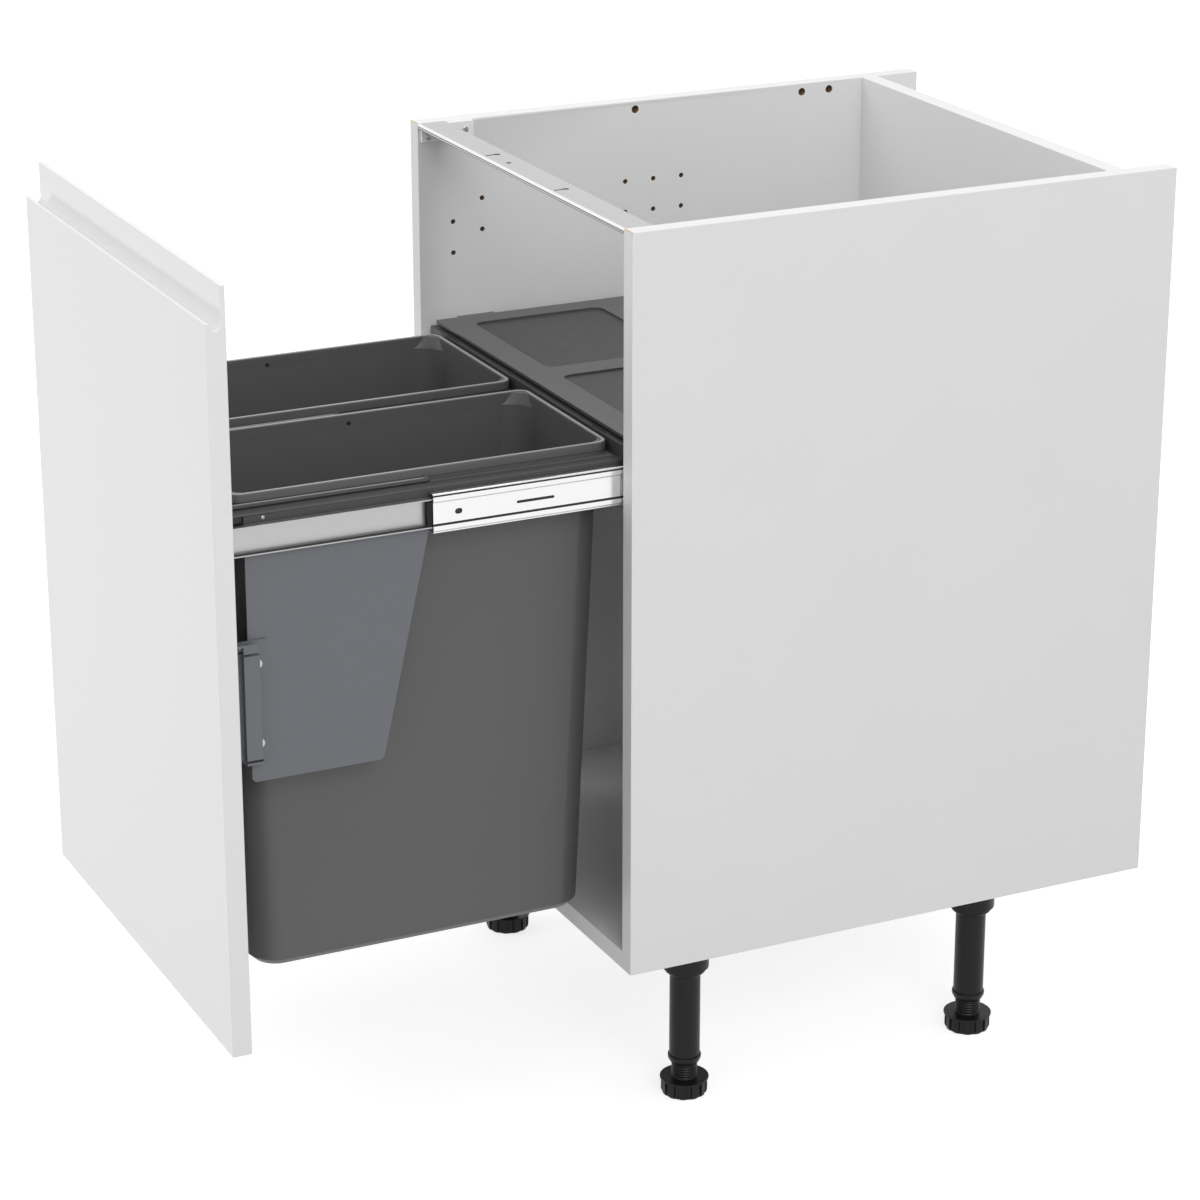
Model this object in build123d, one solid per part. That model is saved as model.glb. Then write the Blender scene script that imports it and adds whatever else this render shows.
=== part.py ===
from build123d import *
import math
import os

# A base cabinet on legs with a pull-out drawer front that carries two waste bins.
# X runs across the cabinet, Y from the drawer front to the back, Z up from the floor.
# The origin is on the floor, in the middle of the whole cabinet with its drawer as it stands.
# The drawer stands open by REST_OPENING. All sizes are in millimetres.

# ---------------------------------------------------------------- driving dimensions
# Carcass
CABINET_WIDTH = 500.0
CABINET_DEPTH = 570.0
CABINET_HEIGHT = 720.0
PANEL_T = 18.0
SERVICE_VOID = 48.0

# System holes in the side panels
SYSTEM_HOLE_D = 5.0
SYSTEM_HOLE_DEPTH = 12.0
SYSTEM_PITCH = 32.0
SYSTEM_SETBACK = 37.0
SYSTEM_ROW_DROP = 82.5
FRONT_PAIR_DROP = 103.5
REAR_GROUP_STEPS = 6
REAR_GROUP_COLUMNS = 3

# Front rail and the brackets at its ends
RAIL_DEPTH = 29.0
RAIL_SHEET_T = 1.2
RAIL_LIP = 5.0
RAIL_BEND_R = 2.4
KEYHOLE_SPACING = 154.0
KEYHOLE_SETBACK = 5.0
KEYHOLE_LENGTH = 14.5
KEYHOLE_SLOT_W = 2.6
KEYHOLE_D = 6.0
RAIL_HOLE_D = 5.0
RAIL_HOLE_OFFSET = 40.5
BRACKET_T = 4.0
BRACKET_TAIL = 30.0
BRACKET_HEIGHT = 14.0
BRACKET_SHELF = 12.0

# Legs
LEG_HEIGHT = 158.0
LEG_SIDE_INSET = 41.0
LEG_FRONT_SETBACK = 79.0
LEG_SPACING = 321.0
LEG_FLATS = 24
SOCKET_D = 46.0
SOCKET_H = 23.0
SOCKET_TOP_T = 6.0
SOCKET_MOUTH_D = 40.0
SOCKET_MOUTH_H = 6.0
LEG_TUBE_D = 30.0
LEG_FIT = 0.1
LEG_COLLAR_D = 32.5
LEG_COLLAR_H = 8.0
FOOT_STEM_D = 25.5
FOOT_RUN_FIT = 0.08
FOOT_ENGAGED = 45.0
FOOT_SCREW_IN = 15.0
FOOT_STOP_GAP = 1.0
FOOT_FLANGE_D = 48.0
FOOT_FLANGE_T = 2.0
FOOT_HEIGHT = 17.0
FOOT_SKIRT_D = 45.0
FOOT_RIBS = 12
FOOT_RIB_DEPTH = 1.6

# Slides
SLIDE_LENGTH = 450.0
SLIDE_THICKNESS = 12.7
SLIDE_DROP = 239.5
SLIDE_SETBACK = 3.5
SLIDE_STEEL_T = 1.2
SLIDE_BEND_R = 1.6
DRAWER_MEMBER_H = 27.0
INNER_BALL_GAP = 3.8
OUTER_BALL_GAP = 3.5
CABINET_FLANGE_W = 10.7
MID_FLANGE_GAP = 0.8
BEAD_RISE = 0.8
BEAD_W = 4.6
BEAD_EDGE = 2.7
CAGE_T = 0.6
CAGE_CLEAR = 0.3
CAGE_LENGTH = 220.0
CAGE_END_MARGIN = 5.0
CAGE_WINDOW = 3.9
CAGE_WINDOWS = 6
MID_HOLE_SETBACK = 24.5
MID_HOLE_L = 7.0
MID_HOLE_W = 5.0
MID_SLOT_START = 81.0
MID_SLOT_L = 37.0
MID_SLOT_W = 2.5
FULL_TRAVEL = 432.0

# Drawer front
REST_OPENING = 379.0
DOOR_CLOSED_GAP = 2.0
DOOR_T = 18.5
DOOR_SIDE_GAP = 1.5
DOOR_BOTTOM_GAP = 1.6
DOOR_TOP_GAP = 2.3
PULL_DEPTH = 32.2
PULL_LIP_T = 3.5
PULL_GROOVE_W = 10.6
PULL_GROOVE_DEPTH = 6.5

# Side plates and the brackets on the drawer front
PLATE_T = 2.0
PLATE_SETBACK = 20.0
PLATE_DROP = 242.0
PLATE_FOOT_L = 126.0
PLATE_SLANT = 48.0
PLATE_STRIP_H = 29.0
PLATE_REACH = 436.0
PLATE_SHELF = 12.0
PLATE_CORNER_R = 5.0
HANGER_T = 2.0
HANGER_RAISE = 21.0
HANGER_HEIGHT = 103.0
HANGER_DEPTH = 15.0
HANGER_WIDTH = 10.7
HANGER_SETBACK = 12.0
HANGER_LAP = 17.0
HANGER_EAR = 11.0
HANGER_FLANGE_W = 26.0

# Bin frame
FRAME_SETBACK = 3.0
FRAME_SEAT_H = 6.0
FRAME_RIM_H = 2.5
FRAME_RAIL_W = 21.3
REAR_BAR_DEPTH = 24.0
REAR_BAR_H = 16.0
FRAME_NOTCH_DEPTH = 4.0
FRAME_NOTCH_H = 7.0
WELL_CLEAR = 1.5
FLANGE_CLEAR = 0.5

# Bins
BIN_SETBACK = 16.0
BIN_LENGTH = 366.0
BIN_GAP = 28.0
BIN_HEIGHT = 467.0
BIN_WALL = 2.75
BIN_DRAFT_DEG = 1.96
BIN_CORNER_R = 28.0
BIN_FLOOR_BEVEL = 7.0
TUB_TRIM = 0.02
COLLAR_H = 8.0
COLLAR_ABOVE_SEAT = 14.0
COLLAR_CORNER_R = 12.0
NECK_INSET = 2.0
BIN_FLANGE_T = 2.5
BIN_FLANGE_SIDE = 6.0
BIN_FLANGE_FRONT = 5.0
BIN_FLANGE_REAR = 1.5

# Bail handles
BAIL_T = 3.0
BAIL_H = 3.5
BAIL_GAP = 1.5
BAIL_EYE_D = 5.2
BAIL_EYE_FLATS = 12
BAIL_PIN_D = 4.0
BAIL_PIN_FIT = 0.08
BAIL_PIVOT_ABOVE_SEAT = 5.2
BAIL_ARM_DROP = 2.3
BAIL_CORNER_R = 6.0

# Cover in the cabinet
COVER_T = 3.5
COVER_RUN_GAP = 2.5
COVER_SIDE_GAP = 16.0
COVER_FRONT_STEP = 5.0
COVER_DEPTH = 375.0
COVER_EDGE_MARGIN = 25.0
COVER_END_MARGIN = 30.0
COVER_CENTRE_GAP = 30.0
COVER_PANEL_L = 140.0
COVER_SINK = 2.2
COVER_CORNER_R = 10.0
SUPPORT_T = 1.5
SUPPORT_LENGTH = 40.0
SUPPORT_LAP = 8.0
SUPPORT_LEG = 12.0
SUPPORT_END_GAP = 30.0

# ---------------------------------------------------------------- derived places
# Carcass
half_width = CABINET_WIDTH / 2
wall_x = half_width - PANEL_T
front_y = (REST_OPENING + DOOR_T - CABINET_DEPTH) / 2
back_y = front_y + CABINET_DEPTH
back_panel_rear_y = back_y - SERVICE_VOID
back_panel_front_y = back_panel_rear_y - PANEL_T
base_z = LEG_HEIGHT
top_z = base_z + CABINET_HEIGHT
base_top_z = base_z + PANEL_T

# Slides: the stack of members inwards from the side panel, and their heights
slide_z = top_z - SLIDE_DROP
drawer_face_x = wall_x - SLIDE_THICKNESS
cabinet_web_x = wall_x - SLIDE_STEEL_T
outer_cage_x = cabinet_web_x - CAGE_CLEAR
bead_top_x = outer_cage_x - CAGE_T - CAGE_CLEAR
mid_web_x = bead_top_x - BEAD_RISE
inner_cage_x = mid_web_x - SLIDE_STEEL_T - CAGE_CLEAR
drawer_lip_x = inner_cage_x - CAGE_T - CAGE_CLEAR
mid_member_h = DRAWER_MEMBER_H + 2 * (INNER_BALL_GAP + SLIDE_STEEL_T)
cabinet_member_h = mid_member_h + 2 * (OUTER_BALL_GAP + SLIDE_STEEL_T)

# Slides along Y, with the drawer open by REST_OPENING
drawer_out = REST_OPENING - DOOR_CLOSED_GAP
travel_left = FULL_TRAVEL - drawer_out
slide_front_y = front_y + SLIDE_SETBACK
mid_front_y = slide_front_y - drawer_out / 2
drawer_member_front_y = slide_front_y - drawer_out
outer_cage_front_y = slide_front_y + CAGE_END_MARGIN + travel_left / 4
inner_cage_front_y = mid_front_y + CAGE_END_MARGIN + travel_left / 4

# Drawer
door_back_y = front_y - REST_OPENING
door_front_y = door_back_y - DOOR_T
plate_x = drawer_face_x - PLATE_T
plate_top_z = slide_z + DRAWER_MEMBER_H / 2
plate_low_z = plate_top_z - PLATE_DROP
hanger_low_z = plate_low_z + HANGER_RAISE
hanger_top_z = hanger_low_z + HANGER_HEIGHT
seat_z = plate_top_z + FRAME_SEAT_H
frame_top_z = seat_z + FRAME_RIM_H

# Bins
bin_front_y = door_back_y + BIN_SETBACK
bin_rear_y = bin_front_y + BIN_LENGTH
bin_centre_y = (bin_front_y + bin_rear_y) / 2
bin_width = drawer_face_x - FRAME_RAIL_W - BIN_GAP / 2
bin_centre_x = BIN_GAP / 2 + bin_width / 2
rim_z = seat_z + COLLAR_ABOVE_SEAT
bin_bottom_z = rim_z - BIN_HEIGHT
body_h = seat_z - bin_bottom_z
neck_width = bin_width - 2 * NECK_INSET
neck_length = BIN_LENGTH - 2 * NECK_INSET
pivot_z = seat_z + BAIL_PIVOT_ABOVE_SEAT

# Frame and cover along Y
frame_front_y = door_back_y + FRAME_SETBACK
rear_bar_front_y = bin_rear_y + BIN_FLANGE_REAR + FLANGE_CLEAR
frame_rear_y = rear_bar_front_y + REAR_BAR_DEPTH
rear_bar_top_z = seat_z + REAR_BAR_H
cover_front_y = rear_bar_front_y + COVER_FRONT_STEP
cover_back_y = cover_front_y + COVER_DEPTH
cover_bottom_z = rear_bar_top_z + COVER_RUN_GAP
cover_x = wall_x - COVER_SIDE_GAP

# Legs
leg_x = half_width - LEG_SIDE_INSET
leg_front_y = front_y + LEG_FRONT_SETBACK
leg_places = {
    "front_left": (-leg_x, leg_front_y),
    "front_right": (leg_x, leg_front_y),
    "rear_left": (-leg_x, leg_front_y + LEG_SPACING),
    "rear_right": (leg_x, leg_front_y + LEG_SPACING),
}
socket_shoulder_z = base_z - SOCKET_H
socket_mouth_z = socket_shoulder_z - SOCKET_MOUTH_H
tube_end_z = FOOT_HEIGHT + FOOT_SCREW_IN + FOOT_STOP_GAP


# ---------------------------------------------------------------- drawing helpers
def rect(a0, a1, b0, b1):
    """A rectangle between two corners of the drawing plane."""
    return Pos((a0 + a1) / 2, (b0 + b1) / 2) * Rectangle(a1 - a0, b1 - b0)


def rounded(centre_a, centre_b, width, height, radius):
    """A rectangle with rounded corners about a centre."""
    return Pos(centre_a, centre_b) * RectangleRounded(width, height, radius)


def along_x(sketch, x0, x1):
    """A profile drawn in Y and Z, drawn out from x0 to x1."""
    return Pos(x0, 0, 0) * extrude(Plane.YZ * sketch, x1 - x0)


def along_y(sketch, y0, y1):
    """A profile drawn in X and Z, drawn out from y0 to y1."""
    return Pos(0, y1, 0) * extrude(Plane.XZ * sketch, y1 - y0)


def along_z(sketch, z0, z1):
    """A profile drawn in X and Y, drawn out from z0 to z1."""
    return Pos(0, 0, z0) * extrude(sketch, z1 - z0)


def slab(x0, x1, y0, y1, z0, z1):
    """A rectangular solid between two corners."""
    return along_z(rect(x0, x1, y0, y1), z0, z1)


def rod_x(x0, x1, y, z, diameter):
    """A round rod along X."""
    return along_x(Pos(y, z) * Circle(diameter / 2), x0, x1)


def leg_round(diameter, z0, z1):
    """A length of a leg's round parts, drawn with flats, about Z."""
    return along_z(RegularPolygon(diameter / 2, LEG_FLATS), z0, z1)


def left_of(solid):
    """The same piece on the left side."""
    return mirror(solid, about=Plane.YZ)


def save(name, solid):
    """Write one piece under its name."""
    export_step(solid, f"parts/{name}.step")


# ---------------------------------------------------------------- carcass
def system_hole(y, z):
    """A blind hole drilled into the right panel's inner face."""
    return rod_x(wall_x, wall_x + SYSTEM_HOLE_DEPTH, y, z, SYSTEM_HOLE_D)


def side_panel():
    """The right side panel: two staggered pairs of holes at the front and a group further back."""
    panel = slab(wall_x, half_width, front_y, back_y, base_z, top_z)
    first_y = front_y + SYSTEM_SETBACK
    row_z = top_z - SYSTEM_ROW_DROP
    pair_z = top_z - FRONT_PAIR_DROP
    holes = []
    for row in range(2):
        drop = row * SYSTEM_PITCH
        holes.append(system_hole(first_y, pair_z - drop))
        holes.append(system_hole(first_y + SYSTEM_PITCH, row_z - drop))
        for column in range(REAR_GROUP_COLUMNS):
            y = first_y + (REAR_GROUP_STEPS + column) * SYSTEM_PITCH
            holes.append(system_hole(y, row_z - drop))
    return panel - holes


def base_panel():
    """The floor of the cabinet, under the back panel's lower edge."""
    return slab(-wall_x, wall_x, front_y, back_panel_rear_y, base_z, base_top_z)


def back_panel():
    """The back, standing on the base between the sides."""
    return slab(-wall_x, wall_x, back_panel_front_y, back_panel_rear_y, base_top_z, top_z)


def keyhole(x):
    """A slot along Y with a round hole at its rear end."""
    start_y = front_y + KEYHOLE_SETBACK
    hole_y = start_y + KEYHOLE_LENGTH - KEYHOLE_D / 2
    slot = rect(x - KEYHOLE_SLOT_W / 2, x + KEYHOLE_SLOT_W / 2, start_y, hole_y)
    return slot + Pos(x, hole_y) * Circle(KEYHOLE_D / 2)


def front_rail():
    """A folded steel channel across the top, its lips turned down at the front and the back."""
    rear_y = front_y + RAIL_DEPTH
    outer = rect(front_y, rear_y, top_z - RAIL_LIP, top_z)
    outer = fillet(outer.vertices().group_by(Axis.Y)[-1].sort_by(Axis.X)[0], RAIL_BEND_R)
    inner = rect(front_y + RAIL_SHEET_T, rear_y - RAIL_SHEET_T, top_z - RAIL_LIP, top_z - RAIL_SHEET_T)
    inner = fillet(inner.vertices().group_by(Axis.Y)[-1].sort_by(Axis.X)[0], RAIL_BEND_R - RAIL_SHEET_T)
    channel = along_x(outer - inner, -wall_x, wall_x)
    hole_y = front_y + KEYHOLE_SETBACK + KEYHOLE_LENGTH / 2
    cuts = keyhole(-KEYHOLE_SPACING / 2) + keyhole(KEYHOLE_SPACING / 2)
    cuts += Pos(-RAIL_HOLE_OFFSET, hole_y) * Circle(RAIL_HOLE_D / 2)
    return channel - along_z(cuts, top_z - RAIL_LIP, top_z)


def rail_bracket():
    """The right bracket: a plate on the side panel, a shelf under the rail and a tail behind it."""
    shelf_top = top_z - RAIL_SHEET_T
    rail_rear_y = front_y + RAIL_DEPTH
    nose_y = front_y + RAIL_BEND_R + FLANGE_CLEAR
    inner_rear_y = rail_rear_y - RAIL_SHEET_T - FLANGE_CLEAR
    low_z = top_z - RAIL_LIP - BRACKET_HEIGHT
    plate = rect(nose_y, inner_rear_y, low_z, shelf_top)
    tail = rect(nose_y, rail_rear_y + BRACKET_TAIL, low_z, top_z - RAIL_LIP - FLANGE_CLEAR)
    upright_y = rail_rear_y + FLANGE_CLEAR
    upright = rect(upright_y, rail_rear_y + BRACKET_TAIL, low_z, shelf_top)
    body = along_x(plate + tail + upright, wall_x - BRACKET_T, wall_x)
    shelf = rect(nose_y, inner_rear_y, shelf_top - BRACKET_T / 2, shelf_top)
    return body + along_x(shelf, wall_x - BRACKET_SHELF, wall_x)


# ---------------------------------------------------------------- legs
def leg_socket():
    """A cup under the base panel, stepped in at its mouth, that the leg's tube pushes into."""
    cup = leg_round(SOCKET_D, socket_shoulder_z, base_z)
    cup += leg_round(SOCKET_MOUTH_D, socket_mouth_z, socket_shoulder_z)
    return cup - leg_round(LEG_TUBE_D + 2 * LEG_FIT, socket_mouth_z, base_z - SOCKET_TOP_T)


def leg_tube():
    """The leg's tube, with the collar that holds the foot's thread at its lower end."""
    bore = Circle(FOOT_STEM_D / 2 + FOOT_RUN_FIT)
    bore_top_z = tube_end_z + FOOT_ENGAGED + FOOT_SCREW_IN
    tube = leg_round(LEG_TUBE_D, tube_end_z, base_z - SOCKET_TOP_T)
    tube += leg_round(LEG_COLLAR_D, tube_end_z, tube_end_z + LEG_COLLAR_H)
    return tube - along_z(bore, tube_end_z, bore_top_z)


def foot():
    """A screw foot: stem, flange and a ribbed skirt."""
    stem = leg_round(FOOT_STEM_D, FOOT_HEIGHT, tube_end_z + FOOT_ENGAGED)
    flange = leg_round(FOOT_FLANGE_D, FOOT_HEIGHT - FOOT_FLANGE_T, FOOT_HEIGHT)
    core = RegularPolygon(FOOT_SKIRT_D / 2 - FOOT_RIB_DEPTH, FOOT_RIBS * 2)
    rib_w = math.pi * FOOT_SKIRT_D / FOOT_RIBS / 2
    rib = rect(0, FOOT_SKIRT_D / 2, -rib_w / 2, rib_w / 2)
    ribs = [Rot(0, 0, 360 / FOOT_RIBS * index) * rib for index in range(FOOT_RIBS)]
    skirt = along_z(core + ribs, 0, FOOT_HEIGHT - FOOT_FLANGE_T)
    return stem + flange + skirt


# ---------------------------------------------------------------- slides
def channel(web_x, lip_x, height):
    """A C profile about the slide's centre line, its web on web_x and its flanges reaching lip_x."""
    step = math.copysign(SLIDE_STEEL_T, web_x - lip_x)
    low, high = sorted((web_x, lip_x))
    outer = rect(low, high, slide_z - height / 2, slide_z + height / 2)
    corners = outer.vertices().sort_by(Axis.X)
    bends = corners[2:] if web_x > lip_x else corners[:2]
    outer = fillet(bends, SLIDE_BEND_R)
    low, high = sorted((web_x - step, lip_x - step))
    inner_half = height / 2 - SLIDE_STEEL_T
    return outer - rect(low, high, slide_z - inner_half, slide_z + inner_half)


def cabinet_member():
    """The right slide's outer member, screwed to the side panel."""
    profile = channel(wall_x, wall_x - CABINET_FLANGE_W, cabinet_member_h)
    return along_y(profile, slide_front_y, slide_front_y + SLIDE_LENGTH)


def mid_member():
    """The intermediate member, with two pressed beads, an oval hole and a slot in its web."""
    profile = channel(mid_web_x, drawer_face_x + MID_FLANGE_GAP, mid_member_h)
    for sign in (-1, 1):
        outer_z = slide_z + sign * (mid_member_h / 2 - BEAD_EDGE)
        inner_z = outer_z - sign * BEAD_W
        profile += rect(mid_web_x, bead_top_x, min(outer_z, inner_z), max(outer_z, inner_z))
    member = along_y(profile, mid_front_y, mid_front_y + SLIDE_LENGTH)
    hole = Pos(mid_front_y + MID_HOLE_SETBACK, slide_z) * SlotOverall(MID_HOLE_L, MID_HOLE_W)
    slot_y = mid_front_y + MID_SLOT_START + MID_SLOT_L / 2
    slot = Pos(slot_y, slide_z) * SlotOverall(MID_SLOT_L, MID_SLOT_W)
    return member - along_x(hole + slot, mid_web_x - 2 * SLIDE_STEEL_T, mid_web_x)


def drawer_member():
    """The inner member, fixed to the side plate and open towards the intermediate member."""
    profile = channel(drawer_face_x, drawer_lip_x, DRAWER_MEMBER_H)
    return along_y(profile, drawer_member_front_y, drawer_member_front_y + SLIDE_LENGTH)


def ball_cage(web_x, lip_x, gap_z, start_y):
    """A thin strip cage: a web beside the member's web and two returns with a window for each ball."""
    half = gap_z - slide_z + CAGE_T / 2
    outer = rect(lip_x, web_x, slide_z - half, slide_z + half)
    inner = rect(lip_x - CAGE_T, web_x - CAGE_T, slide_z - half + CAGE_T, slide_z + half - CAGE_T)
    cage = along_y(outer - inner, start_y, start_y + CAGE_LENGTH)
    pitch = CAGE_LENGTH / CAGE_WINDOWS
    window_x = (lip_x + web_x - CAGE_T) / 2
    windows = [
        rect(window_x - CAGE_WINDOW / 2, window_x + CAGE_WINDOW / 2, y, y + CAGE_WINDOW)
        for y in (start_y + pitch * (index + 0.5) - CAGE_WINDOW / 2 for index in range(CAGE_WINDOWS))
    ]
    return cage - along_z(Sketch() + windows, slide_z - half - CAGE_T, slide_z + half + CAGE_T)


def outer_cage():
    """The cage between the cabinet member and the intermediate member."""
    gap_z = slide_z + mid_member_h / 2 + OUTER_BALL_GAP / 2
    lip_x = wall_x - CABINET_FLANGE_W + CAGE_CLEAR
    return ball_cage(outer_cage_x, lip_x, gap_z, outer_cage_front_y)


def inner_cage():
    """The cage between the intermediate member and the drawer member."""
    gap_z = slide_z + DRAWER_MEMBER_H / 2 + INNER_BALL_GAP / 2
    lip_x = drawer_face_x + MID_FLANGE_GAP + CAGE_CLEAR
    return ball_cage(inner_cage_x, lip_x, gap_z, inner_cage_front_y)


# ---------------------------------------------------------------- drawer front, side plates, brackets
def door_front():
    """The drawer front: a board whose top edge is milled into a finger pull of J section."""
    low_z = base_z + DOOR_BOTTOM_GAP
    high_z = top_z - DOOR_TOP_GAP
    lip_z = high_z - PULL_DEPTH
    groove_front_y = door_front_y + PULL_LIP_T
    groove_rear_y = groove_front_y + PULL_GROOVE_W
    round_z = lip_z - PULL_GROOVE_DEPTH + PULL_GROOVE_W / 2
    board = rect(door_front_y, door_back_y, low_z, high_z)
    opening = rect(door_front_y, groove_rear_y, lip_z, high_z)
    groove = rect(groove_front_y, groove_rear_y, round_z, lip_z)
    groove += Pos((groove_front_y + groove_rear_y) / 2, round_z) * Circle(PULL_GROOVE_W / 2)
    door_x = half_width - DOOR_SIDE_GAP
    return along_x(board - opening - groove, -door_x, door_x)


def side_plate():
    """The right steel side plate: a deep front part, a slanted edge and a strip behind the slide."""
    plate_front_y = door_back_y + PLATE_SETBACK
    plate_rear_y = plate_front_y + PLATE_REACH
    strip_z = plate_top_z - PLATE_STRIP_H
    foot_y = plate_front_y + PLATE_FOOT_L
    outline = make_face(Polyline(
        (plate_front_y, plate_top_z),
        (plate_front_y, plate_low_z),
        (foot_y, plate_low_z),
        (foot_y + PLATE_SLANT, strip_z),
        (plate_rear_y, strip_z),
        (plate_rear_y, plate_top_z),
        close=True,
    ))
    outline = fillet(outline.vertices().group_by(Axis.Y)[0], PLATE_CORNER_R)
    plate = along_x(outline, plate_x, drawer_face_x)
    shelf = rect(plate_x - PLATE_SHELF, drawer_face_x, plate_top_z - PLATE_T, plate_top_z)
    return plate + along_y(shelf, plate_front_y, plate_rear_y)


def door_bracket():
    """The right bracket: a flange on the drawer front, a leaf on the side plate, an adjuster housing."""
    ear_z = hanger_top_z + HANGER_EAR
    leaf_rear_y = door_back_y + PLATE_SETBACK + HANGER_LAP
    leaf_x = drawer_face_x + HANGER_T
    leaf = slab(drawer_face_x, leaf_x, door_back_y, leaf_rear_y, hanger_low_z, ear_z)
    flange_x = leaf_x - HANGER_FLANGE_W
    flange = slab(flange_x, leaf_x, door_back_y, door_back_y + HANGER_T, hanger_low_z, ear_z)
    outer_x = drawer_face_x + HANGER_WIDTH
    housing_y = door_back_y + HANGER_SETBACK
    tube = rect(drawer_face_x, outer_x, hanger_low_z, hanger_top_z)
    tube -= rect(leaf_x, outer_x - HANGER_T, hanger_low_z + HANGER_T, hanger_top_z - HANGER_T)
    housing = along_y(tube, housing_y, housing_y + HANGER_DEPTH)
    ear = slab(drawer_face_x, outer_x, door_back_y, housing_y + HANGER_T, ear_z - HANGER_T, ear_z)
    return leaf + flange + housing + ear


# ---------------------------------------------------------------- bin frame
def bin_frame():
    """The moulded frame: a rim and a ledge for each bin, a raised rear bar, a notch at each front end."""
    plate = rect(-drawer_face_x, drawer_face_x, frame_front_y, frame_rear_y)
    frame = along_z(plate, plate_top_z, frame_top_z)
    frame += slab(-drawer_face_x, drawer_face_x, rear_bar_front_y, frame_rear_y, plate_top_z, rear_bar_top_z)
    pocket_front_y = bin_front_y - BIN_FLANGE_FRONT - FLANGE_CLEAR
    pocket_width = bin_width + 2 * (BIN_FLANGE_SIDE + FLANGE_CLEAR)
    well_width = neck_width + 2 * WELL_CLEAR
    well_length = neck_length + 2 * WELL_CLEAR
    for sign in (-1, 1):
        x = sign * bin_centre_x
        pocket = rect(x - pocket_width / 2, x + pocket_width / 2, pocket_front_y, rear_bar_front_y)
        frame -= along_z(pocket, seat_z, frame_top_z)
        well = rounded(x, bin_centre_y, well_width, well_length, BIN_CORNER_R)
        frame -= along_z(well, plate_top_z, seat_z)
        low, high = sorted((sign * (drawer_face_x - FRAME_NOTCH_DEPTH), sign * drawer_face_x))
        notch_rear_y = door_back_y + PLATE_SETBACK
        frame -= slab(low, high, frame_front_y, notch_rear_y, plate_top_z, plate_top_z + FRAME_NOTCH_H)
    return frame


# ---------------------------------------------------------------- bins
def tub_section(height, inset):
    """The tub's outline at a height above the bin's bottom, a trim's width outside its flat walls."""
    drawn_in = (body_h - height) * math.tan(math.radians(BIN_DRAFT_DEG)) + inset - TUB_TRIM
    width = neck_width - 2 * drawn_in
    length = neck_length - 2 * drawn_in
    return Pos(0, 0, bin_bottom_z + height) * RectangleRounded(width, length, BIN_CORNER_R - inset)


def flat_walls(wall):
    """A block with the tub's four flat walls at their draft, inset by a wall."""
    width = neck_width - 2 * wall
    length = neck_length - 2 * wall
    block = along_z(Rectangle(width, length), bin_bottom_z, seat_z)
    sides = block.faces().filter_by(Axis.Z, reverse=True)
    return draft(sides, Plane.XY.offset(seat_z), -BIN_DRAFT_DEG)


def tapered_tub(wall):
    """A tub with round corners and a bevelled lower edge, its walls trimmed flat, inset by a wall."""
    sections = [
        tub_section(wall, wall + BIN_FLOOR_BEVEL),
        tub_section(wall + BIN_FLOOR_BEVEL, wall),
        tub_section(body_h, wall),
    ]
    return loft(sections, ruled=True) & flat_walls(wall)


def waste_bin():
    """The right bin, drawn about its own centre: tub, neck, collar, resting flange and pivot holes."""
    body = tapered_tub(0)
    neck_r = COLLAR_CORNER_R - NECK_INSET
    body += along_z(RectangleRounded(neck_width, neck_length, neck_r), seat_z, rim_z - COLLAR_H)
    body += along_z(RectangleRounded(bin_width, BIN_LENGTH, COLLAR_CORNER_R), rim_z - COLLAR_H, rim_z)
    flange_x = bin_width / 2 + BIN_FLANGE_SIDE
    flange_front = -BIN_LENGTH / 2 - BIN_FLANGE_FRONT
    flange_rear = BIN_LENGTH / 2 + BIN_FLANGE_REAR
    slot_r = (flange_x - neck_width / 2) / 2
    slot_end = BAIL_EYE_D / 2 + BAIL_GAP
    flange = rect(-flange_x, flange_x, slot_end - slot_r, flange_rear)
    for sign in (-1, 1):
        flange -= Pos(sign * (flange_x - slot_r), slot_end - slot_r) * Circle(slot_r)
    flange += rect(-neck_width / 2, neck_width / 2, flange_front, flange_rear)
    ledge_z = seat_z + BIN_FLANGE_T
    body += along_z(flange, seat_z, ledge_z)
    mouth_width = neck_width - 2 * BIN_WALL
    mouth_length = neck_length - 2 * BIN_WALL
    throat = RectangleRounded(mouth_width, mouth_length, BIN_CORNER_R - BIN_WALL)
    mouth = RectangleRounded(mouth_width, mouth_length, neck_r - BIN_WALL)
    body -= tapered_tub(BIN_WALL)
    body -= along_z(throat, seat_z, ledge_z)
    body -= along_z(mouth, ledge_z, rim_z)
    body -= rod_x(-bin_width, bin_width, 0, pivot_z, BAIL_PIN_D + 2 * BAIL_PIN_FIT)
    return Pos(bin_centre_x, bin_centre_y, 0) * body


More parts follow.
